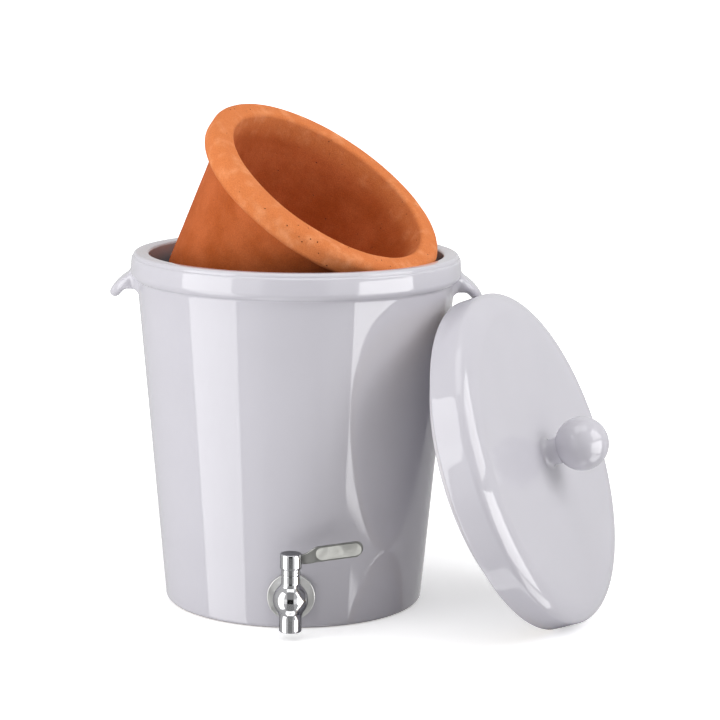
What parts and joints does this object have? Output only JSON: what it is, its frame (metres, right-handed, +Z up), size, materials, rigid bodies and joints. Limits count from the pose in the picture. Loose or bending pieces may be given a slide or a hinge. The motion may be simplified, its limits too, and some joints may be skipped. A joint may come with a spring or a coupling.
{
  "type": "gravity water filter with tap",
  "caption": "Glazed ceramic crock with ear handles and a steel ball-valve tap, a terracotta filter pot tipped in its mouth and a knobbed lid leaning on its side.",
  "frame": {"origin": "centre of the crock's flat base, on the floor", "axes": "+Z up along the crock's axis, -Y towards the tap, +X towards the leaning lid, through one ear"},
  "size_m": [0.5299, 0.4205, 0.5107],
  "materials": {
    "glaze": "pale lavender-grey gloss glaze",
    "terracotta": "unglazed, matt",
    "steel": "polished",
    "plate": "fine brushed, bare",
    "silicone": "translucent white silicone",
    "nitrile": "black",
    "ptfe": "white"
  },
  "bodies": {
    "crock_body": {"crock": "glaze", "tap_body": "steel", "tap_shank": "steel", "escutcheon": "steel", "outer_gasket": "silicone", "inner_gasket": "silicone", "inner_washer": "steel", "lock_nut": "steel", "inlet_seat": "ptfe", "outlet_seat": "ptfe", "thrust_washer": "ptfe", "retaining_collar": "steel", "stop_pin": "steel"},
    "tap_handle": {"handle_cap": "steel", "lever": "steel", "lever_plate": "plate", "handle_grub_screw": "steel", "valve_stem": "steel", "stem_o_rings": "nitrile", "valve_ball": "steel"},
    "filter_pot_body": {"filter_pot": "terracotta"},
    "lid_body": {"lid": "glaze"}
  },
  "joints": [
    {"name": "tap_handle_turn", "type": "hinge", "parent": "crock_body", "child": "tap_handle", "pos_m": [0, -0.16804, 0.036], "axis": [0, 0, -1], "range_deg": [0, 90]},
    {"name": "filter_pot_lift", "type": "slide", "parent": "crock_body", "child": "filter_pot_body", "axis": [0, 0, 1], "range_m": [0, 0.18]},
    {"name": "lid_lift_away", "type": "slide", "parent": "crock_body", "child": "lid_body", "axis": [0.8553, -0.3772, 0.3551], "range_m": [0, 0.15]}
  ]
}
